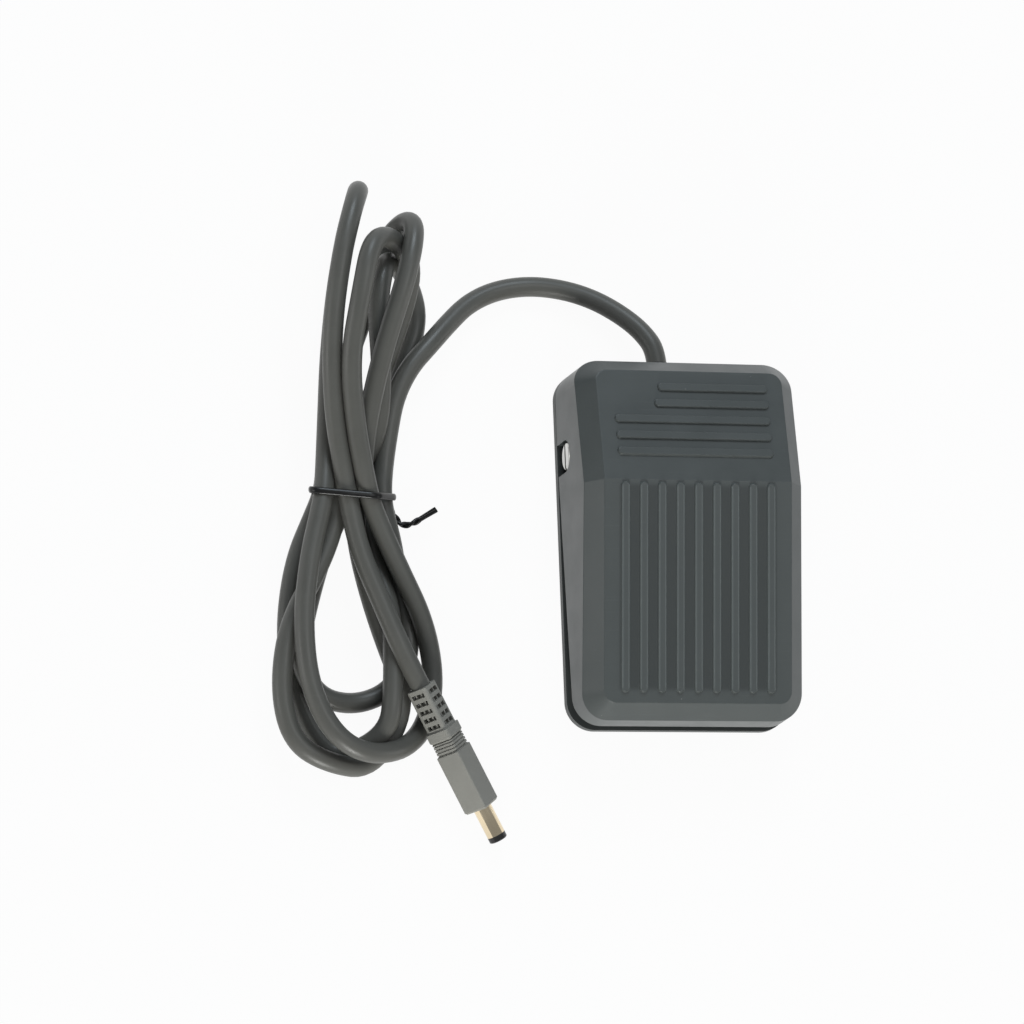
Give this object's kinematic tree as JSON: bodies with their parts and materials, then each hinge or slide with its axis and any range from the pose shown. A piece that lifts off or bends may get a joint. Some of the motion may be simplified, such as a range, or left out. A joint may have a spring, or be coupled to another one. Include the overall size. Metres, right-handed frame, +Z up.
{
  "type": "foot switch",
  "caption": "Small foot switch: ribbed pedal cover hinged on a tray over a lever microswitch, with a tied-up lead that ends in a barrel plug.",
  "frame": {"origin": "on the floor under the middle of the housing", "axes": "+Z up, +Y along the housing towards the side where the lead leaves, +X to the right seen from the front; the pedal is stored at rest, not pressed"},
  "size_m": [0.1591, 0.1945, 0.0392],
  "materials": {
    "housing_plastic": "satin moulded plastic, dark grey",
    "rubber_black": "soft black rubber",
    "jacket_grey": "satin grey soft PVC",
    "plug_grey": "matt grey soft plastic",
    "switch_black": "matt black thermoset",
    "plunger_red": "smooth red plastic",
    "steel": "zinc plated steel",
    "spring_steel": "drawn spring wire",
    "contact_brass": "tinned brass",
    "barrel_metal": "pale plated brass, polished",
    "insulator_black": "smooth black plastic",
    "wire_white": "white wire insulation",
    "wire_black": "black wire insulation",
    "tie_black": "black plastic over wire"
  },
  "bodies": {
    "base": {"base_tray": "housing_plastic", "rubber_feet": "rubber_black", "switch_case": "switch_black", "switch_lid": "switch_black", "terminal_common": "contact_brass", "terminal_closed": "contact_brass", "terminal_open": "contact_brass", "switch_screws": "steel", "return_spring": "spring_steel", "cable_clamp": "switch_black", "clamp_screws": "steel", "cable_grommet": "rubber_black", "cable_inner": "jacket_grey", "wire_open": "wire_black", "wire_common": "wire_white", "cord_run": "jacket_grey", "cord_hank": "jacket_grey", "cord_tail": "jacket_grey", "cord_tie": "tie_black", "plug_relief": "plug_grey", "plug_body": "plug_grey", "plug_barrel": "barrel_metal", "plug_insulator": "insulator_black", "plug_contact": "contact_brass"},
    "pedal": {"pedal_cover": "housing_plastic", "hinge_screw_left": "steel", "hinge_screw_right": "steel", "hinge_nuts": "steel"},
    "lever": {"switch_lever": "steel"},
    "plunger": {"switch_plunger": "plunger_red"}
  },
  "joints": [
    {"name": "pedal_hinge", "type": "hinge", "parent": "base", "child": "pedal", "pos_m": [0, 0.0266, 0.0122], "axis": [1, 0, 0], "range_deg": [0, 4], "stiffness_Nm_per_rad": 6, "springref_deg": -2.86, "deforming": ["return_spring"]},
    {"name": "lever_hinge", "type": "hinge", "parent": "base", "child": "lever", "pos_m": [0, 0.0195, 0.02655], "axis": [1, 0, 0], "range_deg": [0, 5.4]},
    {"name": "plunger_slide", "type": "slide", "parent": "base", "child": "plunger", "axis": [0, 0, -1], "range_m": [0, 0.0008]}
  ],
  "couplings": [
    {"joint": "lever_hinge", "follows": "pedal_hinge", "ratio": 1.32},
    {"joint": "plunger_slide", "follows": "pedal_hinge", "m_per_rad": 0.01125}
  ]
}
